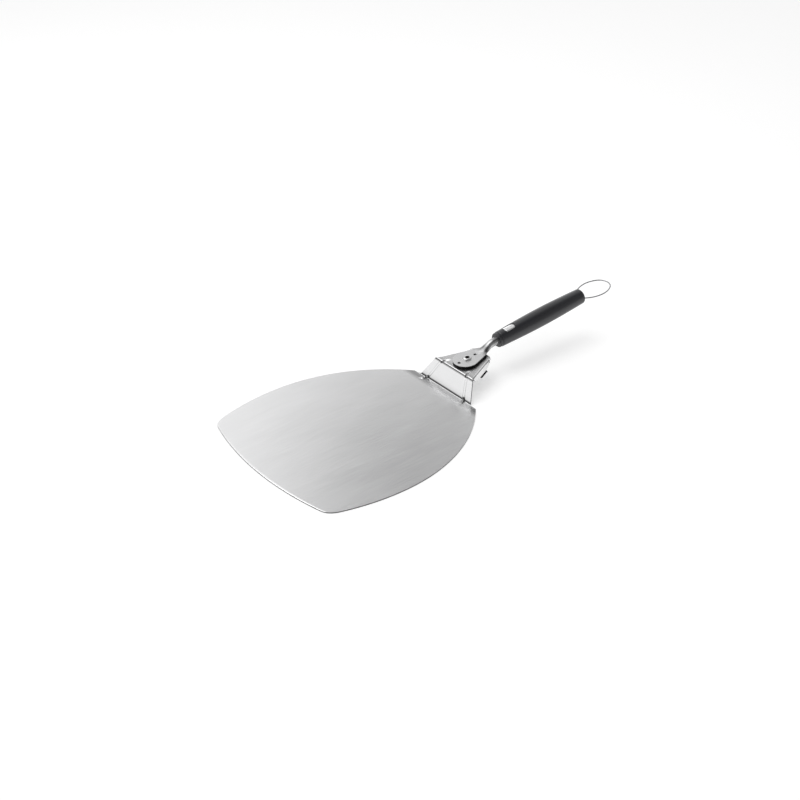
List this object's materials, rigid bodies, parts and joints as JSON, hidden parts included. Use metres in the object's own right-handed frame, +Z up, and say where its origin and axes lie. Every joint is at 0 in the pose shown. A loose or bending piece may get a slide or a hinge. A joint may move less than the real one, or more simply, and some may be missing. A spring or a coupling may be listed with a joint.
{
  "type": "pizza peel",
  "caption": "Stainless pizza peel with a wide flat blade, a raised neck, a black grip that swivels about a rivet to fold over the blade, and a wire hanging loop.",
  "frame": {"origin": "on the flat underside of the blade, midway across its widest line", "axes": "+Z up from the surface the blade lies on, +Y from the blade towards the handle, +X to the right seen from the front edge looking towards the handle"},
  "size_m": [0.328, 0.7005, 0.0803],
  "materials": {
    "brushed_sheet": "fine brushed stainless sheet, grain across the blade",
    "plate_steel": "satin pressed stainless",
    "bright_steel": "bright steel fasteners",
    "spring_steel": "plain spring steel",
    "badge_steel": "blank satin plate",
    "wire_steel": "bright drawn wire",
    "black_plastic": "satin moulded black plastic",
    "pale_plastic": "smooth slippery plastic"
  },
  "bodies": {
    "blade": {"blade": "brushed_sheet", "glide_washer": "pale_plastic", "pivot_rivet": "bright_steel", "top_washer": "bright_steel", "disc_spring": "spring_steel", "low_washer": "bright_steel", "leaf_foot": "spring_steel", "leaf_rivets": "bright_steel"},
    "lock_lever": {"lock_leaf": "spring_steel", "lock_pin": "bright_steel", "finger_tab": "black_plastic"},
    "handle": {"swivel_plate": "plate_steel", "rim_ring": "black_plastic", "handle_tang": "spring_steel", "grip_collar": "black_plastic", "grip": "black_plastic", "badge_plate": "badge_steel", "tang_washer": "bright_steel", "tang_nut": "bright_steel", "end_plug": "black_plastic"},
    "hang_loop": {"hang_loop": "wire_steel"}
  },
  "joints": [
    {"name": "handle_swivel", "type": "hinge", "parent": "blade", "child": "handle", "pos_m": [0, 0.24928, 0.03508], "axis": [0, -0.0958, 0.9954], "continuous": true},
    {"name": "lock_release", "type": "hinge", "parent": "blade", "child": "lock_lever", "pos_m": [-0.01335, 0.26483, 0.03426], "axis": [0, 0.9954, 0.0958], "range_deg": [0, 8], "stiffness_Nm_per_rad": 1.2, "springref_deg": -2.86},
    {"name": "loop_swing", "type": "hinge", "parent": "handle", "child": "hang_loop", "pos_m": [0, 0.49178, 0.06757], "axis": [1, 0, 0], "range_deg": [-8, 30]}
  ]
}
